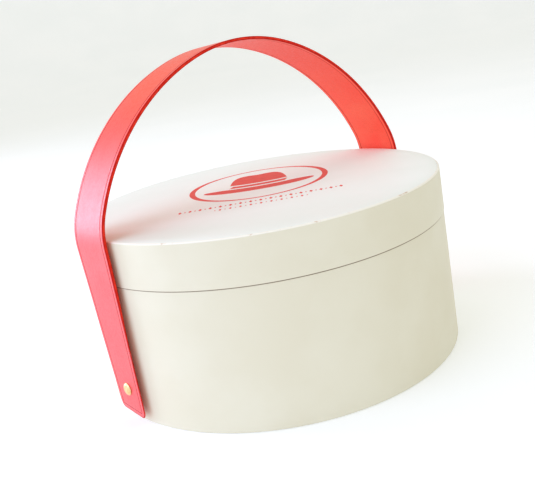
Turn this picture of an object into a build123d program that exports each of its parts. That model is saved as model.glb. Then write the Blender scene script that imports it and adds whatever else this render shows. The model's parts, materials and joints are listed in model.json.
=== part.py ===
from build123d import *
import math
import os

# A round rigid hat box of paper-covered board, with a flush lid on an inner neck and a wide
# leather strap that swings on two rivets. Millimetres, +Z up, origin at the centre of the base.
# The strap stands in the XZ plane; the hinge through its rivets runs along X.

# Box and lid
lid_radius = 150.0
body_radius = 149.5
box_height = 143.0
seam_height = 108.0
seam_gap = 0.3
board = 2.3
paper = 0.4
lining = 0.3
neck_board = 1.5
neck_clearance = 0.3
neck_rise = 9.0
base_card = 1.6
rim_round = 1.0
rim_band = 1.6

# Strap handle
layer = 1.3
rivet_height = 26.0
strap_half_span = 151.8
strap_end_height = 4.0
strap_end_slant = 4.5
strap_end_width = 34.0
strap_width = 48.0
strap_corner_radius = 5.0
edge_blend_radius = 300.0
leg_height = 137.0
leg_flare_deg = 0.4
shoulder_radius = 60.0
shoulder_turn_deg = 23.5
haunch_radius = 173.0
haunch_turn_deg = 72.5
strap_lean_deg = 3.4

# Rivets
post_radius = 1.8
running_gap = 0.05
face_gap = 0.15
cap_radius = 5.0
cap_edge = 0.5
cap_rise = 1.6
washer_radius = 5.5
backing_radius = 8.0
backing_thickness = 1.4

# Sizes that follow
strap_thickness = 2 * layer
wall_outer = body_radius - paper
neck_outer = wall_outer - board
lining_outer = neck_outer - neck_board
lining_inner = lining_outer - lining
floor_height = paper + board
liner_height = floor_height + base_card
body_top = seam_height - seam_gap / 2
lid_bottom = seam_height + seam_gap / 2
neck_top = body_top + neck_rise
lid_inner = neck_outer + neck_clearance
hoop_inner = lid_inner + lining
hoop_outer = lid_radius - paper
lid_board_top = box_height - paper
lid_board_bottom = lid_board_top - board
lid_lining_bottom = lid_board_bottom - lining
cap_face = strap_half_span + strap_thickness + face_gap


def disc(radius, bottom, top):
    return Pos(0, 0, bottom) * extrude(Circle(radius), top - bottom)


def tube(inner, outer, bottom, top):
    return Pos(0, 0, bottom) * extrude(Circle(outer) - Circle(inner), top - bottom)


def rod_through(radius, start=-lid_radius - 20, end=lid_radius + 20):
    """A rod along X at the rivets' height, from one X to another."""
    return Plane.YZ.offset(start) * Pos(0, rivet_height) * extrude(Circle(radius), end - start)


def both_sides(solid):
    """A piece at +X and its mirror image at -X, as two separate solids."""
    return Compound([solid, mirror(solid, Plane.YZ)])


def drilled(solid):
    return solid - rod_through(post_radius + running_gap)


# Box body

def base_paper():
    return disc(body_radius, 0, paper)


def base_board():
    return disc(neck_outer, paper, floor_height)


def body_wall():
    return drilled(tube(neck_outer, wall_outer, paper, body_top))


def body_wrap():
    return drilled(tube(wall_outer, body_radius, paper, body_top))


def inner_neck():
    return drilled(tube(lining_outer, neck_outer, floor_height, neck_top))


def body_lining():
    return drilled(tube(lining_inner, lining_outer, floor_height, neck_top))


def base_liner():
    return disc(lining_inner, floor_height, liner_height)


# Lid

def lid_hoop():
    return tube(hoop_inner, hoop_outer, lid_bottom, lid_board_bottom)


def lid_hoop_lining():
    return tube(lid_inner, hoop_inner, lid_bottom, lid_lining_bottom)


def lid_top_board():
    return disc(hoop_outer, lid_board_bottom, lid_board_top)


def lid_lining():
    return disc(hoop_inner, lid_lining_bottom, lid_board_bottom)


def lid_side_wrap():
    """Paper round the lid's wall, turned over the top edge as a narrow rounded rim."""
    rim_inner = lid_radius - rim_band
    section = Polyline(
        (lid_radius - rim_round, box_height),
        (rim_inner, box_height),
        (rim_inner, lid_board_top),
        (hoop_outer, lid_board_top),
        (hoop_outer, lid_bottom),
        (lid_radius, lid_bottom),
        (lid_radius, box_height - rim_round),
    )
    rim = RadiusArc(section @ 1, section @ 0, -rim_round)
    return revolve(Plane.XZ * make_face(section.edges() + rim.edges()), Axis.Z)


def lid_top_paper():
    return disc(lid_radius - rim_band, lid_board_top, box_height)


# Strap handle, drawn upright and then leaned about its hinge

def polar(length, angle_deg):
    angle = math.radians(angle_deg)
    return Vector(length * math.cos(angle), length * math.sin(angle))


def arch_arcs():
    """Centre, radius and end angles of the right half's three inner arcs, up to the crown."""
    turns = [-leg_flare_deg, shoulder_turn_deg, haunch_turn_deg, 90]
    flare = math.tan(math.radians(leg_flare_deg))
    leg_top = Vector(strap_half_span + (leg_height - rivet_height) * flare, leg_height)
    shoulder = leg_top - polar(shoulder_radius, -leg_flare_deg)
    haunch = shoulder + polar(shoulder_radius - haunch_radius, shoulder_turn_deg)
    crown_radius = haunch_radius + haunch.X / math.cos(math.radians(haunch_turn_deg))
    crown = haunch + polar(haunch_radius - crown_radius, haunch_turn_deg)
    radii = [shoulder_radius, haunch_radius, crown_radius]
    return list(zip([shoulder, haunch, crown], radii, turns, turns[1:]))


def strap_curve(offset):
    """Right half of the strap's line in XZ, offset outwards from its inner face."""
    edges = []
    for centre, radius, start, end in arch_arcs():
        points = [centre + polar(radius + offset, angle) for angle in (start, (start + end) / 2, end)]
        edges.append(ThreePointArc(*points))
    leg_top = edges[0] @ 0
    foot = Vector(leg_top.X - leg_top.Y * math.tan(math.radians(leg_flare_deg)), 0)
    return [Line(foot, leg_top)] + edges


def strap_lengths(inner, outer):
    """The strap between two offsets, uncut: a solid for each straight or curved length, meeting end to end."""
    lengths = []
    for inside, outside in zip(strap_curve(inner), strap_curve(outer)):
        ends = [Line(inside @ 0, outside @ 0), Line(inside @ 1, outside @ 1)]
        profile = make_face([inside, outside] + ends)
        length = extrude(Plane.XZ * profile, strap_width / 2 + 1, both=True)
        lengths += [length, mirror(length, Plane.YZ)]
    return lengths


def strap_front():
    """Front outline of the strap: narrow at its slanted ends, full width from the lid's edge up."""

    def edge(side, end):
        taper = (strap_width - strap_end_width) / 2 / leg_height
        wide = side * strap_width / 2
        return [(side * (strap_end_width / 2 + taper * end), end), (wide, leg_height), (wide, 2 * box_height)]

    back = edge(1, strap_end_height + strap_end_slant)
    front = edge(-1, strap_end_height)
    outline = make_face(Polyline(*back, *reversed(front), close=True))
    outline = fillet(outline.vertices().group_by(Axis.Y)[2], edge_blend_radius)
    return fillet(outline.vertices().sort_by(Axis.Y)[:2], strap_corner_radius)


def strap_layer(inner, outer):
    reach = lid_radius + 20
    front = extrude(Plane.YZ * strap_front(), reach, both=True)
    hinge = Axis((0, 0, rivet_height), (1, 0, 0))
    lengths = [drilled(length & front) for length in strap_lengths(inner, outer)]
    return Compound([solid for length in lengths for solid in length.solids()]).rotate(hinge, -strap_lean_deg)


def strap_inner_leather():
    return strap_layer(0, layer)


def strap_outer_leather():
    return strap_layer(layer, strap_thickness)


# Rivets

def rivet_head():
    """A domed head that stands on XY, with a blind socket for the end of the post."""
    sphere_radius = (cap_radius ** 2 + cap_rise ** 2) / (2 * cap_rise)
    sphere = Pos(0, 0, cap_edge + cap_rise - sphere_radius) * Sphere(sphere_radius)
    dome = extrude(Circle(cap_radius), cap_edge + cap_rise) & sphere
    return dome - extrude(Circle(post_radius), cap_edge)


def backing_face():
    """X of the flat inner face of the washer inside the box, whose rim lies on the round lining."""
    return math.sqrt(lining_inner ** 2 - backing_radius ** 2) - backing_thickness


def rivet_caps():
    return both_sides(Plane.YZ.offset(cap_face) * Pos(0, rivet_height) * rivet_head())


def rivet_back_caps():
    head = Rot(0, 180, 0) * rivet_head()
    return both_sides(Plane.YZ.offset(backing_face()) * Pos(0, rivet_height) * head)


def rivet_posts():
    return both_sides(rod_through(post_radius, backing_face() - cap_edge, cap_face + cap_edge))


def spacer_washers():
    """Between wall and strap: flat outside, hollowed inside to the round wall."""
    blank = rod_through(washer_radius, body_radius - washer_radius, strap_half_span - face_gap)
    return both_sides(drilled(blank - disc(body_radius, 0, body_top)))


def backing_washers():
    blank = rod_through(backing_radius, backing_face(), body_radius)
    return both_sides(drilled(blank & disc(lining_inner, 0, body_top)))


os.makedirs("parts", exist_ok=True)
for make in (
    base_paper, base_board, body_wall, body_wrap, inner_neck, body_lining, base_liner,
    lid_hoop, lid_hoop_lining, lid_top_board, lid_lining, lid_side_wrap, lid_top_paper,
    strap_inner_leather, strap_outer_leather,
    rivet_caps, rivet_posts, rivet_back_caps, spacer_washers, backing_washers,
):
    export_step(make(), f"parts/{make.__name__}.step")
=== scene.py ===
import json
import math
import bmesh
import bpy
from mathutils import Matrix, Vector


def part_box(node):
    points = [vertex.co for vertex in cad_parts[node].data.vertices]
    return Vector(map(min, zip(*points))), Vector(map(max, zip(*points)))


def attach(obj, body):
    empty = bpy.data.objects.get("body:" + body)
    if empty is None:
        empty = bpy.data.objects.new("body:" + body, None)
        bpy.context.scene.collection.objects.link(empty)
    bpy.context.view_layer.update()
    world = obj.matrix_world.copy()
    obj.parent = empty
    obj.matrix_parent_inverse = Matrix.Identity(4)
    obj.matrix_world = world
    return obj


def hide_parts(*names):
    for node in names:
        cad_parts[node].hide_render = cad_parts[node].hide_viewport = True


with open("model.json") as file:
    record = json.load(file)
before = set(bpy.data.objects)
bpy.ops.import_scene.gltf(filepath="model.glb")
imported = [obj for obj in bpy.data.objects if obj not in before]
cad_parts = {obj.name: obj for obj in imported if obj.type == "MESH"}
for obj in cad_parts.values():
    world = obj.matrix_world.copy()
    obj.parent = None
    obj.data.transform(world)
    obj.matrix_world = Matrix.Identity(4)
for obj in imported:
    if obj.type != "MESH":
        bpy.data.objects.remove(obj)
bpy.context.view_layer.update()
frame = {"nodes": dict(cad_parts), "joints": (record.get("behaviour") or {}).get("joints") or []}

MM = 0.001

# Places read from the frame, in metres
LID_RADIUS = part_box("lid_side_wrap")[1].x
LID_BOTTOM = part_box("lid_side_wrap")[0].z
LID_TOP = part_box("lid_side_wrap")[1].z
TOP_SHEET_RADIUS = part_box("lid_top_paper")[1].x
LID_BOARD_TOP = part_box("lid_top_board")[1].z
BODY_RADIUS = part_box("body_wrap")[1].x
BODY_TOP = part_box("body_wrap")[1].z
WALL_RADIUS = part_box("body_wall")[1].x
NECK_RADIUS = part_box("inner_neck")[1].x
BASE_PAPER_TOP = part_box("base_paper")[1].z
CAP_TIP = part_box("rivet_caps")[1].x
RIVET_HEIGHT = [j for j in frame["joints"] if j["name"] == "handle_swing"][0]["pos_m"][2]

# Paper
WRAP_OVERLAP = 12 * MM
WRAP_OVERLAP_START = 96  # degrees round the box, on the side away from the camera
WRAP_STEP = 0.16 * MM
FOLD_RADIUS = 0.55 * MM
WRAP_THICKNESS = 0.4 * MM
SHEET_TOP = LID_TOP - 0.05 * MM

# The strap, with the same sizes as in the CAD
STRAP_THICKNESS = 2.6 * MM
STRAP_HALF_SPAN = 151.8 * MM
STRAP_WIDTH = 48.0 * MM
STRAP_END_WIDTH = 34.0 * MM
STRAP_END_HEIGHT = 4.0 * MM
STRAP_END_SLANT = 4.5 * MM
STRAP_CORNER = 5.0 * MM
LEG_HEIGHT = 137.0 * MM
LEG_FLARE = math.radians(0.4)
SHOULDER_RADIUS = 60.0 * MM
SHOULDER_TURN = math.radians(23.5)
HAUNCH_RADIUS = 173.0 * MM
HAUNCH_TURN = math.radians(72.5)
STRAP_LEAN = math.radians(3.4)
POST_RADIUS = 1.85 * MM

# Finish of the strap, which only the visual model has
TAPER_BLEND = 9 * MM
CREASE_INSET = 3.8 * MM
# Inset of a painted highlight strip, between the crease and the border
HIGHLIGHT_STRIP_INSET = CREASE_INSET - 1.4 * MM
SKIVED_EDGE = 0.8 * MM
SKIVE_WIDTH = 6.0 * MM
SKIVE_START = 22 * MM
SKIVE_RUN = 55 * MM

# Mesh of the strap: steps over the arch, beside each rivet, round the corners, ends and holes
ARCH_STEPS = 240
TAIL_STEPS = 8
CORNER_STEPS = 9
END_STEPS = 8
HOLE_STEPS = 32
RIVET_FIELD = 9 * MM

# Rivet domes
FACE_GAP = 0.15 * MM
CAP_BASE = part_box("spacer_washers")[1].x + STRAP_THICKNESS + 2 * FACE_GAP
CAP_RADIUS = 5.0 * MM
CAP_RIM_RADIUS = 0.2 * MM
CAP_RIM_HEIGHT = 0.25 * MM
CAP_SHOULDER = 0.42 * MM


# ---------------------------------------------------------------- mesh helpers

def make_piece(name, bm, materials, body, replaced=(), sharp=35):
    """Turns a bmesh into a piece on a body, smooth but for edges sharper than an angle."""
    bmesh.ops.recalc_face_normals(bm, faces=bm.faces)
    for face in bm.faces:
        face.smooth = True
    for edge in bm.edges:
        if len(edge.link_faces) == 2 and edge.calc_face_angle(0) > math.radians(sharp):
            edge.smooth = False
    mesh = bpy.data.meshes.new(name)
    bm.to_mesh(mesh)
    bm.free()
    piece = bpy.data.objects.new(name, mesh)
    bpy.context.scene.collection.objects.link(piece)
    for material in materials:
        mesh.materials.append(material)
    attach(piece, body)
    if replaced:
        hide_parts(*replaced)


def arc(centre, radius, start, end, steps=6):
    """Points of an arc in (r, z), angles in degrees from +r towards +z."""
    angles = [math.radians(start + (end - start) * i / steps) for i in range(steps + 1)]
    return [(centre[0] + radius * math.cos(a), centre[1] + radius * math.sin(a)) for a in angles]


def turned(bm, line, turn):
    """New vertices: an (r, z) line after a turn about Z, given as a share of the full circle."""
    a = 2 * math.pi * turn
    return [bm.verts.new((r * math.cos(a), r * math.sin(a), z)) for r, z in line]


def wrapped_ring(profile):
    """A closed (r, z) profile turned about Z. Its outer wall steps out over the wrap's overlap."""
    segments = 256
    bm = bmesh.new()
    rings = []
    outer = max(r for r, _ in profile) - 0.3 * MM
    start = WRAP_OVERLAP_START
    end = start + math.degrees(WRAP_OVERLAP / LID_RADIUS)
    for i in range(segments):
        step = WRAP_STEP if start <= 360 * i / segments <= end else 0.0
        line = [(r + step if r > outer else r, z) for r, z in profile]
        rings.append(turned(bm, line, i / segments))
    for i in range(segments):
        here, there = rings[i], rings[(i + 1) % segments]
        for j in range(len(profile)):
            k = (j + 1) % len(profile)
            bm.faces.new((here[j], there[j], there[k], here[k]))
    return bm


def turned_disc(profile, segments=192):
    """A solid turned about Z. Its profile starts and ends on the axis."""
    bm = bmesh.new()
    first = bm.verts.new((0, 0, profile[0][1]))
    last = bm.verts.new((0, 0, profile[-1][1]))
    rings = [turned(bm, profile[1:-1], i / segments) for i in range(segments)]
    for i in range(segments):
        here, there = rings[i], rings[(i + 1) % segments]
        bm.faces.new((first, here[0], there[0]))
        bm.faces.new((last, there[-1], here[-1]))
        for j in range(len(here) - 1):
            bm.faces.new((here[j], here[j + 1], there[j + 1], there[j]))
    return bm


# ---------------------------------------------------------------- material helpers

def linear(red, green, blue):
    """An sRGB colour, 0 to 255, as the shader's linear RGBA."""
    def channel(c):
        c /= 255
        return c / 12.92 if c <= 0.04045 else ((c + 0.055) / 1.055) ** 2.4
    return (channel(red), channel(green), channel(blue), 1.0)


class Shader:
    """A Principled material with short calls for the nodes that this scene uses."""

    def __init__(self, name, **sockets):
        self.material = bpy.data.materials.new(name)
        self.material.use_nodes = True
        self.nodes = self.material.node_tree.nodes
        self.links = self.material.node_tree.links
        self.bsdf = self.nodes["Principled BSDF"]
        for socket, value in sockets.items():
            self.bsdf.inputs[socket.replace("_", " ")].default_value = value
        self.coords = self.nodes.new("ShaderNodeTexCoord").outputs["Object"]

    def link(self, source, node, socket):
        self.links.new(source, node.inputs[socket])

    def scaled(self, x, y, z):
        mapping = self.nodes.new("ShaderNodeMapping")
        mapping.inputs["Scale"].default_value = (x, y, z)
        self.link(self.coords, mapping, "Vector")
        return mapping.outputs["Vector"]

    def noise(self, scale, detail=3.0, roughness=0.55, vector=None, distortion=0.0):
        node = self.nodes.new("ShaderNodeTexNoise")
        node.inputs["Scale"].default_value = scale
        node.inputs["Detail"].default_value = detail
        node.inputs["Roughness"].default_value = roughness
        node.inputs["Distortion"].default_value = distortion
        self.link(vector or self.coords, node, "Vector")
        return node.outputs["Fac"]

    def cells(self, scale, vector):
        node = self.nodes.new("ShaderNodeTexVoronoi")
        node.feature = "DISTANCE_TO_EDGE"
        node.inputs["Scale"].default_value = scale
        self.link(vector, node, "Vector")
        return node.outputs["Distance"]

    def spread(self, value, low, high, to_low=0.0, to_high=1.0):
        """Smooth step: to_low up to low, to_high from high on."""
        node = self.nodes.new("ShaderNodeMapRange")
        node.interpolation_type = "SMOOTHSTEP"
        sockets = ("From Min", "From Max", "To Min", "To Max")
        for socket, number in zip(sockets, (low, high, to_low, to_high)):
            node.inputs[socket].default_value = number
        self.link(value, node, "Value")
        return node.outputs["Result"]

    def near(self, value, target, start, end, peak=1.0):
        """Peak where a value is near a target, falling to 0 between two distances from it."""
        distance = self.math("ABSOLUTE", self.math("SUBTRACT", value, target), 0)
        return self.spread(distance, start, end, peak, 0.0)

    def math(self, operation, a, b):
        node = self.nodes.new("ShaderNodeMath")
        node.operation = operation
        for socket, value in enumerate((a, b)):
            if isinstance(value, (int, float)):
                node.inputs[socket].default_value = value
            else:
                self.links.new(value, node.inputs[socket])
        return node.outputs["Value"]

    def mix(self, share, a, b):
        """Colour a where share is 0, b where it is 1."""
        node = self.nodes.new("ShaderNodeMix")
        node.data_type = "RGBA"
        self.links.new(share, node.inputs["Factor"])
        for socket, value in (("A", a), ("B", b)):
            target = [s for s in node.inputs if s.name == socket and s.type == "RGBA"][0]
            if isinstance(value, tuple):
                target.default_value = value
            else:
                self.links.new(value, target)
        return [s for s in node.outputs if s.type == "RGBA"][0]

    def attribute(self, name):
        node = self.nodes.new("ShaderNodeAttribute")
        node.attribute_name = name
        return node.outputs["Fac"]

    def height(self):
        node = self.nodes.new("ShaderNodeSeparateXYZ")
        self.link(self.coords, node, "Vector")
        return node.outputs["Z"]

    def colour(self, value):
        self.links.new(value, self.bsdf.inputs["Base Color"])

    def roughness(self, value):
        self.links.new(value, self.bsdf.inputs["Roughness"])

    def bump(self, height, distance, strength, under=None):
        """Bumps the surface, on top of another bump if there is one."""
        node = self.nodes.new("ShaderNodeBump")
        node.inputs["Distance"].default_value = distance
        node.inputs["Strength"].default_value = strength
        self.link(height, node, "Height")
        if under:
            self.link(under, node, "Normal")
        self.links.new(node.outputs["Normal"], self.bsdf.inputs["Normal"])
        return node.outputs["Normal"]


# ---------------------------------------------------------------- materials

def paper(name, colour, shade, fibre, rough=0.62, rim=None, scuffed=(), shaded_seam_height=None):
    """Uncoated paper: cloudy tone, short fibres and a fine tooth.

    It can have a painted highlight (near-white paper) just under the rim's height, scuffs at given
    heights and painted shade (brownish darkening) either side of a seam's height.
    """
    s = Shader(name, Roughness=rough, Specular_IOR_Level=0.35)
    clouds = s.spread(s.noise(14, 4), 0.3, 0.7)
    tone = s.mix(clouds, colour, shade)
    strands = s.noise(900, 5, 0.65, s.scaled(1.0, 1.0, 3.2), 0.6)
    tone = s.mix(s.spread(strands, 0.60, 0.78, 0.0, 0.55), tone, fibre)
    height = s.height()
    if rim:
        # Painted highlight: the paper turns near white within about a millimetre under the rim's
        # height, where the rounded rim catches the light
        rim_highlight = s.spread(height, rim - 1.3 * MM, rim - 0.5 * MM, 0.0, 0.8)
        tone = s.mix(rim_highlight, tone, linear(255, 253, 247))
    for level, reach, worn in scuffed:
        patches = s.spread(s.noise(95, 6, 0.7), 0.56, 0.68)
        rubbed = s.math("MULTIPLY", s.near(height, level, 0.0, reach), patches)
        tone = s.mix(s.math("MULTIPLY", rubbed, 0.75), tone, worn)
    if shaded_seam_height:
        # Painted shade: the paper darkens to brown within about half a millimetre of the seam's
        # height, for the shade in the gap between lid and body
        painted_seam_shade = s.near(height, shaded_seam_height, 0.22 * MM, 0.55 * MM, 0.75)
        tone = s.mix(painted_seam_shade, tone, linear(122, 92, 70))
    s.colour(tone)
    s.roughness(s.spread(clouds, 0, 1, rough - 0.05, rough + 0.06))
    tooth = s.bump(s.noise(2600, 3, 0.6), 0.00003, 0.5)
    s.bump(s.noise(60, 3), 0.00025, 0.16, tooth)
    return s.material


def leather(name, colour, pale_tone_and_highlight, painted_top_tone, deep, rough, wrinkle, creased):
    """Smooth finished leather: fine grain, cloudy dye, darker creases and burnished borders, a
    painted highlight strip inside the border and a painted, more orange tone over the strap's top.
    """
    s = Shader(name, Roughness=rough, Specular_IOR_Level=0.55)
    clouds = s.spread(s.noise(30, 4, 0.6), 0.32, 0.68)
    tone = s.mix(clouds, colour, pale_tone_and_highlight)
    # Painted light: above about 200 mm the strap turns to a more orange tone, for how the light
    # falls on its top
    uneven_height = s.math("ADD", s.height(), s.math("MULTIPLY", s.noise(18, 3), 0.04))
    tone = s.mix(s.spread(uneven_height, 200 * MM, 275 * MM), tone, painted_top_tone)
    grain = s.spread(s.cells(1350, s.scaled(1.0, 1.0, 0.8)), 0.0, 0.22)
    tone = s.mix(s.math("MULTIPLY", s.math("SUBTRACT", 1.0, grain), 0.22), tone, deep)
    inset = s.attribute("inset_mm")
    # Painted highlight: a pale strip between the crease and the border, where the border's
    # rounding catches the light
    tone = s.mix(s.near(inset, HIGHLIGHT_STRIP_INSET / MM, 0.4, 1.1, 0.5), tone, pale_tone_and_highlight)
    tone = s.mix(s.near(inset, CREASE_INSET / MM, 0.3, 0.65, creased), tone, deep)
    tone = s.mix(s.spread(inset, 0.8, 1.2, 0.85, 0.0), tone, deep)
    s.colour(tone)
    s.roughness(s.spread(s.noise(420, 4), 0.3, 0.7, rough - 0.05, rough + 0.08))
    fine = s.bump(grain, 0.00005, 0.22)
    s.bump(s.noise(150, 5, 0.6), 0.0003, wrinkle, fine)
    return s.material


def edge_paint():
    """Painted strap edge: dark red, with a painted highlight in lighter runs along the middle of
    its thickness, where the two layers meet and the rounded edge catches the light.
    """
    s = Shader("strap_edge_paint", Roughness=0.72, Specular_IOR_Level=0.1)
    # Painted highlight: the edge turns lighter orange-red towards the middle of its thickness,
    # broken into runs by noise
    middle = s.spread(s.attribute("middle_mm"), 0.25, 1.0, 1.0, 0.0)
    highlight_runs = s.spread(s.noise(220, 4, 0.6), 0.35, 0.7, 0.35, 1.0)
    tone = s.mix(s.math("MULTIPLY", middle, highlight_runs), linear(186, 14, 8), linear(242, 60, 38))
    s.colour(tone)
    s.bump(s.noise(700, 4, 0.6), 0.00008, 0.4)
    return s.material


def pale_gold():
    """Plated brass: hairline scratches, soft tarnish and a little colour drift."""
    rough = 0.36
    s = Shader("pale_gold_brass", Metallic=1.0, Roughness=rough)
    drift = s.spread(s.noise(260, 4), 0.35, 0.7)
    tone = s.mix(drift, linear(247, 222, 170), linear(226, 190, 128))
    s.colour(tone)
    s.roughness(s.spread(s.noise(900, 5, 0.7), 0.3, 0.7, rough - 0.06, rough + 0.10))
    s.bump(s.noise(1800, 3, 0.5, s.scaled(1, 1, 0.08)), 0.00003, 0.25)
    return s.material


def raw_board(name, colour, fleck):
    """Grey recycled board: layered fibres with darker flecks."""
    s = Shader(name, Roughness=0.9, Specular_IOR_Level=0.2)
    layers = s.noise(500, 4, 0.6, s.scaled(1, 1, 6))
    tone = s.mix(s.spread(layers, 0.35, 0.7), colour, linear(150, 143, 130))
    flecks = s.spread(s.noise(1500, 3, 0.5), 0.66, 0.74)
    s.colour(s.mix(flecks, tone, fleck))
    s.bump(s.noise(800, 4), 0.0001, 0.5)
    return s.material


def printing_ink():
    """Coral ink soaked into paper: slightly uneven, with the paper's tooth through it."""
    s = Shader("coral_print_ink", Roughness=0.5, Specular_IOR_Level=0.35)
    blotch = s.spread(s.noise(160, 5, 0.6), 0.3, 0.72)
    tone = s.mix(blotch, linear(232, 62, 52), linear(220, 50, 42))
    pinholes = s.spread(s.noise(1900, 3, 0.6), 0.68, 0.76, 0.0, 0.5)
    s.colour(s.mix(pinholes, tone, linear(250, 200, 195)))
    s.bump(s.noise(2600, 3, 0.6), 0.00003, 0.5)
    return s.material


def floor_finish():
    """Matt off-white, a little uneven, with a faint glow that keeps the far floor pale."""
    s = Shader("pale_floor", Roughness=0.75, Specular_IOR_Level=0.2)
    clouds = s.spread(s.noise(3, 3), 0.3, 0.7)
    s.colour(s.mix(clouds, linear(238, 240, 244), linear(234, 237, 241)))
    s.bsdf.inputs["Emission Color"].default_value = (0.96, 0.99, 1.0, 1.0)
    s.bsdf.inputs["Emission Strength"].default_value = 0.26
    return s.material


# Ivory paper with a painted highlight at the lid's rim and painted shade along the seam between
# lid and body
IVORY = paper(
    "ivory_wrap_paper", linear(229, 225, 207), linear(225, 220, 200), linear(235, 232, 217),
    rim=LID_TOP, shaded_seam_height=(BODY_TOP + LID_BOTTOM) / 2,
    scuffed=((LID_TOP, 1.5 * MM, linear(196, 160, 124)), (0.0, 1.6 * MM, linear(190, 172, 146))),
)
WHITE = paper(
    "white_top_paper", linear(244, 249, 246), linear(240, 246, 242), linear(249, 252, 250), 0.55,
)
CREAM = paper(
    "cream_lining_paper", linear(233, 228, 214), linear(228, 222, 206), linear(240, 236, 225), 0.7,
)
BASE = paper(
    "ivory_base_paper", linear(236, 231, 216), linear(230, 224, 207), linear(242, 238, 226), 0.68,
)
BOARD = raw_board("grey_box_board", linear(170, 163, 150), linear(96, 88, 78))
FIBRE = raw_board("fibre_washer_board", linear(208, 200, 182), linear(150, 136, 112))
LEATHER = leather(
    "coral_strap_leather", linear(250, 74, 80), linear(252, 89, 94), linear(252, 74, 48),
    linear(180, 12, 12), rough=0.33, wrinkle=0.03, creased=1.0,
)
LEATHER_BACK = leather(
    "coral_strap_lining_leather", linear(255, 77, 50), linear(255, 93, 63), linear(252, 72, 46),
    linear(178, 16, 6), rough=0.50, wrinkle=0.08, creased=0.6,
)
EDGE_PAINT = edge_paint()
BRASS = pale_gold()
INK = printing_ink()


# ---------------------------------------------------------------- paper-covered box and lid

def body_paper():
    """Ivory paper round the wall, turned over the top edge and under the base."""
    foot_radius = 0.9 * MM
    underside = 0.12 * MM
    turned_in_to = 136 * MM
    neck_side = NECK_RADIUS + 0.02 * MM
    top = BODY_TOP + 0.08 * MM
    profile = [(neck_side, BODY_TOP), (neck_side, top)]
    profile += arc((BODY_RADIUS - FOLD_RADIUS, top - FOLD_RADIUS), FOLD_RADIUS, 90, 0)
    profile += [(BODY_RADIUS, BODY_TOP * share) for share in (0.8, 0.6, 0.4, 0.2)]
    profile += arc((BODY_RADIUS - foot_radius, underside + foot_radius), foot_radius, 0, -90)
    profile += [(turned_in_to, underside), (turned_in_to, BASE_PAPER_TOP)]
    profile += [(WALL_RADIUS, BASE_PAPER_TOP), (WALL_RADIUS, BODY_TOP)]
    bm = wrapped_ring(profile)
    make_piece("body_paper", bm, [IVORY], "box", ["body_wrap"])


def base_sheet():
    """The round sheet stuck over the turned-in paper, on which the box stands."""
    radius = 146 * MM
    bevel = 0.08 * MM
    top = BASE_PAPER_TOP - 0.02 * MM
    profile = [(0, top), (radius, top), (radius, bevel), (radius - bevel, 0)]
    profile += [(100 * MM, 0), (50 * MM, 0), (0, 0)]
    make_piece("base_sheet", turned_disc(profile), [BASE], "box", ["base_paper"])


def lid_paper():
    """Ivory paper round the lid's wall, with a rounded rim, turned in at the bottom."""
    rim_radius = 1.35 * MM
    turned_in_to = LID_RADIUS - 3 * MM
    bottom = LID_BOTTOM - 0.06 * MM
    height = LID_TOP - LID_BOTTOM
    hoop = LID_RADIUS - WRAP_THICKNESS
    lip = TOP_SHEET_RADIUS + 0.05 * MM
    profile = [(turned_in_to, LID_BOTTOM), (turned_in_to, bottom)]
    profile += arc((LID_RADIUS - FOLD_RADIUS, bottom + FOLD_RADIUS), FOLD_RADIUS, -90, 0)
    profile += [(LID_RADIUS, LID_BOTTOM + height * share) for share in (0.25, 0.5, 0.75)]
    profile += arc((LID_RADIUS - rim_radius, LID_TOP - rim_radius), rim_radius, 0, 90, 8)
    profile += [(lip, LID_TOP - 0.03 * MM), (lip, LID_BOARD_TOP)]
    profile += [(hoop, LID_BOARD_TOP), (hoop, LID_BOTTOM)]
    bm = wrapped_ring(profile)
    make_piece("lid_paper", bm, [IVORY], "lid", ["lid_side_wrap"])


def lid_top_sheet():
    """White sheet let in flush inside the rim, with a softly rounded cut edge."""
    radius = TOP_SHEET_RADIUS - 0.08 * MM
    cut = 0.12 * MM
    profile = [(0, SHEET_TOP)]
    profile += [(radius * share, SHEET_TOP) for share in (0.2, 0.4, 0.6, 0.8, 0.94)]
    profile += arc((radius - cut, SHEET_TOP - cut), cut, 90, 0, 3)
    profile += [(radius, LID_BOARD_TOP), (0, LID_BOARD_TOP)]
    bm = turned_disc(profile)
    make_piece("lid_top_sheet", bm, [WHITE], "lid", ["lid_top_paper"])


# ---------------------------------------------------------------- print on the lid

PRINT_TURN = math.radians(-37)
PRINT_LIFT = 0.03 * MM


def place_print(u, v):
    """A point of the print, u to its right and v to its top, in millimetres, on the lid's top."""
    u, v = u * MM, v * MM
    c, s = math.cos(PRINT_TURN), math.sin(PRINT_TURN)
    return Vector((u * c - v * s, u * s + v * c, SHEET_TOP))


def inked(bm, outline):
    """Adds a thin raised patch of ink with that closed outline."""
    low = [bm.verts.new(place_print(u, v)) for u, v in outline]
    high = [bm.verts.new(place_print(u, v) + Vector((0, 0, PRINT_LIFT))) for u, v in outline]
    bm.faces.new(high)
    bm.faces.new(list(reversed(low)))
    for i in range(len(low)):
        j = (i + 1) % len(low)
        bm.faces.new((low[i], low[j], high[j], high[i]))


def inked_band(bm, outer, inner):
    """Ink between two closed lines with the same number of points."""
    count = len(outer)
    for i in range(count):
        j = (i + 1) % count
        flat = [place_print(*p) for p in (outer[i], outer[j], inner[j], inner[i])]
        low = [bm.verts.new(p) for p in flat]
        high = [bm.verts.new(p + Vector((0, 0, PRINT_LIFT))) for p in flat]
        bm.faces.new(high)
        bm.faces.new(list(reversed(low)))
        bm.faces.new((low[0], low[1], high[1], high[0]))
        bm.faces.new((low[2], low[3], high[3], high[2]))


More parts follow.
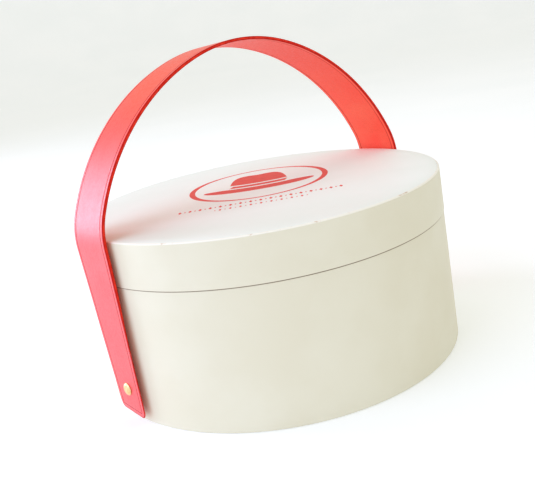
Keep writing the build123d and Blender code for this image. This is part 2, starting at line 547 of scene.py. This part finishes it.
def ellipse(height, half_wide, half_tall, count=96):
    """Points of an ellipse centred at a height on the print's middle line."""
    angles = [math.radians(360 * i / count) for i in range(count)]
    return [(half_wide * math.cos(a), height + half_tall * math.sin(a)) for a in angles]


def curve(a, b, c, d, count=14):
    """Points of a cubic Bezier, without its last point."""
    points = []
    for i in range(count):
        t = i / count
        weights = ((1 - t) ** 3, 3 * t * (1 - t) ** 2, 3 * t * t * (1 - t), t ** 3)
        points.append(tuple(sum(w * p[k] for w, p in zip(weights, (a, b, c, d))) for k in (0, 1)))
    return points


def lid_print():
    """A wide-brimmed hat in a ring, over two rows of lozenges."""
    bm = bmesh.new()
    middle = 24
    inked_band(bm, ellipse(middle, 61, 62), ellipse(middle, 56, 59.4))
    brim = curve((-47, 9), (-32, -10), (32, -10), (47, 9))
    brim += curve((47, 9), (52, 17), (36, 15), (27, 13))
    brim += curve((27, 13), (12, 8), (-12, 8), (-27, 13))
    brim += curve((-27, 13), (-36, 15), (-52, 17), (-47, 9))
    inked(bm, brim)
    band = curve((-26, 17), (-12, 12), (12, 12), (26, 17)) + [(25.5, 25)]
    band += curve((25.5, 25), (12, 20), (-12, 20), (-25.5, 25))
    inked(bm, band)
    crown = curve((-25.2, 29), (-12, 24), (12, 24), (25.2, 29))
    crown += curve((25.2, 29), (24, 48), (21, 63), (12, 64))
    crown += curve((12, 64), (6, 65), (4, 63), (0, 62.5))
    crown += curve((0, 62.5), (-4, 63), (-6, 65), (-12, 64))
    crown += curve((-12, 64), (-21, 63), (-24, 48), (-25.2, 29))
    inked(bm, crown)
    spacing = 4
    large, small = (1.5, 3.6), (0.9, 1.5)
    for half_row, v, size in ((64, -47.5, 1.0), (36, -59, 0.8)):
        count = half_row // spacing
        for i in range(-count, count + 1):
            u = i * half_row / count
            wide, tall = (measure * size for measure in (small if i % 2 else large))
            inked(bm, [(u + wide, v), (u, v + tall), (u - wide, v), (u, v - tall)])
    bmesh.ops.remove_doubles(bm, verts=bm.verts, dist=1e-6)
    make_piece("lid_print", bm, [INK], "lid")


# ---------------------------------------------------------------- strap

def strap_arcs():
    """Centre (x, z), radius and end angles of the right half's inner arcs, from the leg up."""
    turns = (-LEG_FLARE, SHOULDER_TURN, HAUNCH_TURN, math.pi / 2)
    leg_x = STRAP_HALF_SPAN + (LEG_HEIGHT - RIVET_HEIGHT) * math.tan(LEG_FLARE)
    centre = Vector((leg_x, LEG_HEIGHT))
    centre -= SHOULDER_RADIUS * Vector((math.cos(turns[0]), math.sin(turns[0])))
    arcs = [(centre.copy(), SHOULDER_RADIUS, turns[0], turns[1])]
    centre += (SHOULDER_RADIUS - HAUNCH_RADIUS) * Vector((math.cos(turns[1]), math.sin(turns[1])))
    arcs.append((centre.copy(), HAUNCH_RADIUS, turns[1], turns[2]))
    crown_radius = HAUNCH_RADIUS + centre.x / math.cos(turns[2])
    centre += (HAUNCH_RADIUS - crown_radius) * Vector((math.cos(turns[2]), math.sin(turns[2])))
    arcs.append((centre.copy(), crown_radius, turns[2], turns[3]))
    return arcs


ARCS = strap_arcs()
ARC_LENGTHS = [(r + STRAP_THICKNESS / 2) * (end - start) for _, r, start, end in ARCS]
ARCH_HALF = sum(ARC_LENGTHS)
STRAP_HALF = ARCH_HALF + (LEG_HEIGHT - STRAP_END_HEIGHT) / math.cos(LEG_FLARE)
RIVET_PLACE = ARCH_HALF + (LEG_HEIGHT - RIVET_HEIGHT) / math.cos(LEG_FLARE)


def bent(along, across, height):
    """Bends a point of the flat strap into place.

    along is measured from the crown and height from the inner face.
    """
    side = 1 if along >= 0 else -1
    left = abs(along)
    place = None
    for (centre, radius, start, end), length in zip(reversed(ARCS), reversed(ARC_LENGTHS)):
        if left <= length:
            angle = end - (end - start) * left / length
            outward = Vector((math.cos(angle), math.sin(angle)))
            place = centre + outward * (radius + height)
            break
        left -= length
    if place is None:
        centre, radius, start, _ = ARCS[0]
        outward = Vector((math.cos(start), math.sin(start)))
        down = Vector((math.sin(start), -math.cos(start)))
        place = centre + outward * (radius + height) + down * left
    upright = Vector((side * place.x, across, place.y))
    pivot = Vector((0, 0, RIVET_HEIGHT))
    return pivot + Matrix.Rotation(-STRAP_LEAN, 3, "X") @ (upright - pivot)


def half_width(along):
    """Half the strap's width: full over the arch, tapering down the legs, with a soft start."""
    taper = (STRAP_WIDTH - STRAP_END_WIDTH) / 2 / LEG_HEIGHT
    below = abs(along) - ARCH_HALF
    if below <= -TAPER_BLEND:
        return STRAP_WIDTH / 2
    if below >= TAPER_BLEND:
        return STRAP_WIDTH / 2 - taper * below
    return STRAP_WIDTH / 2 - taper * (below + TAPER_BLEND) ** 2 / (4 * TAPER_BLEND)


def skived(along, inset, height):
    """Height of a point after the inner side of the border is pared away down the legs."""
    below = (abs(along) - ARCH_HALF - SKIVE_START) / SKIVE_RUN
    share = min(max(below, 0), 1)
    share = share * share * (3 - 2 * share) * max(0, 1 - inset / SKIVE_WIDTH)
    pared = share * (1 - SKIVED_EDGE / STRAP_THICKNESS)
    return STRAP_THICKNESS - (STRAP_THICKNESS - height) * (1 - pared)


def strap_stations():
    """Places along the strap where its long edges have a point."""
    last = end_corner(1)[0]
    field_start = RIVET_PLACE - RIVET_FIELD
    arch = [field_start * (2 * i / ARCH_STEPS - 1) for i in range(ARCH_STEPS + 1)]
    tail = [
        field_start + (last - field_start) * i / TAIL_STEPS for i in range(1, TAIL_STEPS + 1)
    ]
    return [-t for t in reversed(tail)] + arch + tail


def end_slant():
    return math.atan(STRAP_END_SLANT / (2 * half_width(STRAP_HALF)))


def end_corner(side):
    """Centre (along, across) of the rounding at one corner of the strap's slanted end."""
    half = half_width(STRAP_HALF - STRAP_CORNER)
    slant = end_slant()
    reach = STRAP_HALF if side < 0 else STRAP_HALF - STRAP_END_SLANT
    back = STRAP_CORNER * (1 - side * math.sin(slant)) / math.cos(slant)
    return reach - back, side * (half - STRAP_CORNER)


def strap_outline(inset, stations):
    """Closed outline of the flat strap at an inset from its edge, always with the same points."""
    points = [(a, half_width(a) - inset) for a in stations]
    radius = STRAP_CORNER - inset
    square = math.pi / 2 - end_slant()
    foot = []
    for side, start, end in ((1, 0.0, square), (-1, square, math.pi)):
        along, across = end_corner(side)
        turns = [start + (end - start) * i / CORNER_STEPS for i in range(CORNER_STEPS + 1)]
        foot += [(along + radius * math.sin(t), across + radius * math.cos(t)) for t in turns]
        if side > 0:
            begin = foot[-1]
            along, across = end_corner(-1)
            finish = (along + radius * math.sin(square), across + radius * math.cos(square))
            for i in range(1, END_STEPS):
                foot.append(tuple(p + (q - p) * i / END_STEPS for p, q in zip(begin, finish)))
    foot = foot[1:]  # its first point is the last station's
    points += foot
    points += [(a, inset - half_width(a)) for a in reversed(stations)]
    points += [(-a, c) for a, c in reversed(foot)]
    return points


def strap_section():
    """Rows of (inset, height) from the outer field, over the edge, to the inner field.

    Also how many of the rows lie on one face.
    """
    thick = STRAP_THICKNESS / MM
    middle = thick / 2
    crease = CREASE_INSET / MM
    face = [(crease + 1.3, 0.0), (crease + 0.45, 0.0)]
    face += [(crease + 0.24, -0.07), (crease + 0.08, -0.30)]
    face += [(crease - 0.08, -0.30), (crease - 0.24, -0.07), (crease - 0.5, 0.01)]
    face += [(1.7, 0.02), (1.0, -0.04), (0.6, -0.12), (0.28, -0.30), (0.08, -0.58)]
    outer = [(inset, thick + drop) for inset, drop in face]
    edge = [(0.0, thick - 0.9), (0.0, middle + 0.22), (0.10, middle)]
    edge += [(0.0, middle - 0.22), (0.0, 0.9)]
    inner = [(inset, -drop) for inset, drop in reversed(face)]
    return [(i * MM, h * MM) for i, h in outer + edge + inner], len(face)


def edge_between(bm, a, b):
    return bm.edges.get((a, b)) or bm.edges.new((a, b))


def strap_field(bm, vertex, loop, count, height, material):
    """Closes a face of the strap inside its border, but for a hole for each rivet.

    count is how many points a long edge has. Returns the points of the two holes.
    """
    foot = len(loop) // 2 - count
    upper = loop[:count]
    lower = loop[count + foot:2 * count + foot]
    lower.reverse()
    faces = []
    for i in range(TAIL_STEPS, count - 1 - TAIL_STEPS):
        faces.append(bm.faces.new((upper[i], upper[i + 1], lower[i + 1], lower[i])))
    tail = TAIL_STEPS + 1
    left_end = lower[:tail][::-1] + loop[2 * count + foot:] + upper[:tail]
    right_end = upper[-tail:] + loop[count:count + foot] + lower[-tail:][::-1]
    holes = []
    for side, rim in ((-1, left_end), (1, right_end)):
        hole = []
        for k in range(HOLE_STEPS):
            a = 2 * math.pi * k / HOLE_STEPS
            along = side * (RIVET_PLACE + POST_RADIUS * math.cos(a))
            hole.append(vertex(along, POST_RADIUS * math.sin(a), RIVET_FIELD, height))
        rings = [zip(ring, ring[1:] + ring[:1]) for ring in (rim, hole)]
        edges = [edge_between(bm, a, b) for ring in rings for a, b in ring]
        filled = bmesh.ops.triangle_fill(bm, edges=edges, use_beauty=True)["geom"]
        faces += [item for item in filled if isinstance(item, bmesh.types.BMFace)]
        holes.append(hole)
    for face in faces:
        face.material_index = material
    return holes


def strap():
    """The strap in one closed mesh, with pressed creases, painted edges and two rivet holes."""
    outer_leather, inner_leather, paint = range(3)
    stations = strap_stations()
    section, face_rows = strap_section()
    bm = bmesh.new()
    inset_mm = bm.verts.layers.float.new("inset_mm")
    middle_mm = bm.verts.layers.float.new("middle_mm")

    def vertex(along, across, inset, height):
        v = bm.verts.new(bent(along, across, skived(along, inset, height)))
        v[inset_mm] = inset / MM
        v[middle_mm] = abs(height - STRAP_THICKNESS / 2) / MM
        return v

    # Both borders and the edge between them, with paint from one rounding to the other
    loops = []
    for inset, height in section:
        outline = strap_outline(inset, stations)
        loops.append([vertex(along, across, inset, height) for along, across in outline])
    painted = range(face_rows - 3, len(section) - face_rows + 2)
    for row in range(len(loops) - 1):
        above, below = loops[row], loops[row + 1]
        material = outer_leather if row < face_rows else inner_leather
        if row in painted:
            material = paint
        for i in range(len(above)):
            j = (i + 1) % len(above)
            face = bm.faces.new((above[i], above[j], below[j], below[i]))
            face.material_index = material

    # The faces inside the borders, and the walls of the holes
    count = len(stations)
    outer_holes = strap_field(bm, vertex, loops[0], count, STRAP_THICKNESS, outer_leather)
    inner_holes = strap_field(bm, vertex, loops[-1], count, 0.0, inner_leather)
    for above, below in zip(outer_holes, inner_holes):
        for i in range(HOLE_STEPS):
            j = (i + 1) % HOLE_STEPS
            face = bm.faces.new((above[i], above[j], below[j], below[i]))
            face.material_index = paint
    materials = [LEATHER, LEATHER_BACK, EDGE_PAINT]
    replaced = ["strap_outer_leather", "strap_inner_leather"]
    make_piece("strap", bm, materials, "handle", replaced, sharp=50)


# ---------------------------------------------------------------- rivets

def rivet_domes():
    """Domed heads with a thin turned rim, one on each leg."""
    rise = CAP_TIP - CAP_BASE
    foot_radius = CAP_RADIUS - 0.15 * MM
    dome_radius = CAP_RADIUS - 0.25 * MM
    steps = 12
    profile = [(0, 0), (foot_radius, 0)]
    profile += arc((CAP_RADIUS - CAP_RIM_RADIUS, CAP_RIM_HEIGHT), CAP_RIM_RADIUS, -60, 60, 5)
    for i in range(1, steps):
        a = math.radians(90 * i / steps)
        height = CAP_SHOULDER + (rise - CAP_SHOULDER) * math.sin(a)
        profile.append((dome_radius * math.cos(a) ** 0.9, height))
    profile.append((0, rise))
    both = bmesh.new()
    for side in (-1, 1):
        turn = Matrix.Rotation(side * math.pi / 2, 4, "Y")
        place = Matrix.Translation((side * CAP_BASE, 0, RIVET_HEIGHT)) @ turn
        cap = turned_disc(profile, 64)
        bmesh.ops.transform(cap, matrix=place, verts=cap.verts)
        mesh = bpy.data.meshes.new("cap")
        cap.to_mesh(mesh)
        both.from_mesh(mesh)
        cap.free()
        bpy.data.meshes.remove(mesh)
    make_piece("rivet_domes", both, [BRASS], "box", ["rivet_caps"])


# ---------------------------------------------------------------- CAD nodes that stay as they are

def finish_nodes():
    """Gives detailed materials to the CAD nodes that no piece replaces."""
    finishes = {
        BOARD: ("base_board", "body_wall", "lid_hoop", "lid_top_board"),
        CREAM: ("inner_neck", "body_lining", "base_liner", "lid_hoop_lining", "lid_lining"),
        BRASS: ("rivet_posts", "rivet_back_caps"),
        FIBRE: ("spacer_washers", "backing_washers"),
    }
    for material, names in finishes.items():
        for name in names:
            node = frame["nodes"][name]
            for material_slot in node.material_slots:
                material_slot.link = "OBJECT"
                material_slot.material = material


# ---------------------------------------------------------------- camera, floor and light

CAMERA_PLACE = Vector((-0.3782, -0.5131, 0.2691))
CAMERA_AZIMUTH = math.radians(38.8)
CAMERA_PITCH = math.radians(-13.8)
CAMERA_ROLL = math.radians(-9.5)
CAMERA_LENS = 51.8
CAMERA_SHIFT = (-0.054, -0.056)


def camera():
    """The main view, from the front left, with a roll and a small shift for the framing."""
    data = bpy.data.cameras.new("camera")
    data.lens = CAMERA_LENS
    data.sensor_width = 36
    data.shift_x, data.shift_y = CAMERA_SHIFT
    data.clip_start, data.clip_end = 0.01, 30
    cam = bpy.data.objects.new("camera", data)
    bpy.context.scene.collection.objects.link(cam)
    turn = Matrix.Rotation(-CAMERA_AZIMUTH, 4, "Z")
    tilt = Matrix.Rotation(math.pi / 2 + CAMERA_PITCH, 4, "X")
    roll = Matrix.Rotation(CAMERA_ROLL, 4, "Z")
    cam.matrix_world = Matrix.Translation(CAMERA_PLACE) @ turn @ tilt @ roll
    bpy.context.scene.camera = cam


def floor():
    """A wide pale floor that curves up far behind, so no horizon shows."""
    bm = bmesh.new()
    level = -0.2 * MM
    flat_radius, bend_radius = 5.0, 2.5
    line = [(flat_radius, level)]
    for i in range(1, 7):
        a = math.radians(9 * i)
        height = level + bend_radius * (1 - math.cos(a))
        line.append((flat_radius + bend_radius * math.sin(a), height))
    segments = 96
    rings = [turned(bm, line, i / segments) for i in range(segments)]
    centre = bm.verts.new((0, 0, level))
    for i in range(segments):
        here, there = rings[i], rings[(i + 1) % segments]
        bm.faces.new((centre, here[0], there[0]))
        for j in range(len(here) - 1):
            bm.faces.new((here[j], here[j + 1], there[j + 1], there[j]))
    for face in bm.faces:
        face.smooth = True
    mesh = bpy.data.meshes.new("floor")
    bm.to_mesh(mesh)
    bm.free()
    ground = bpy.data.objects.new("floor", mesh)
    mesh.materials.append(floor_finish())
    bpy.context.scene.collection.objects.link(ground)


def area_light(name, place, size, power, colour):
    """A soft round or oval lamp that faces the middle of the box."""
    place, target = Vector(place), Vector((0, 0, 0.1))
    data = bpy.data.lights.new(name, "AREA")
    data.shape = "ELLIPSE"
    data.size, data.size_y = size
    data.energy = power
    data.color = colour
    lamp = bpy.data.objects.new(name, data)
    lamp.location = place
    lamp.rotation_mode = "QUATERNION"
    lamp.rotation_quaternion = (target - place).to_track_quat("-Z", "Y")
    bpy.context.scene.collection.objects.link(lamp)


def lights():
    """Pale sky light, a low window behind on the left, and three soft lamps."""
    world = bpy.data.worlds.new("studio")
    world.use_nodes = True
    sky = world.node_tree.nodes["Background"]
    sky.inputs["Color"].default_value = (1.0, 0.985, 0.88, 1.0)
    sky.inputs["Strength"].default_value = 0.70
    bpy.context.scene.world = world
    area_light("window", (-1.14, 1.83, 0.68), (0.8, 1.45), 25, (0.73, 0.76, 1.0))
    area_light("key", (-1.69, 0.10, 1.12), (2.0, 2.0), 18.5, (0.62, 0.69, 1.0))
    area_light("warm_fill", (0.51, -1.66, 1.1), (1.4, 1.4), 1.5, (1.0, 0.90, 0.60))
    area_light("top", (0.35, 0.45, 1.95), (1.4, 1.4), 4, (1.0, 0.96, 0.94))
    bpy.context.scene.view_settings.view_transform = "Standard"


camera()
floor()
lights()
body_paper()
base_sheet()
lid_paper()
lid_top_sheet()
lid_print()
strap()
rivet_domes()
finish_nodes()
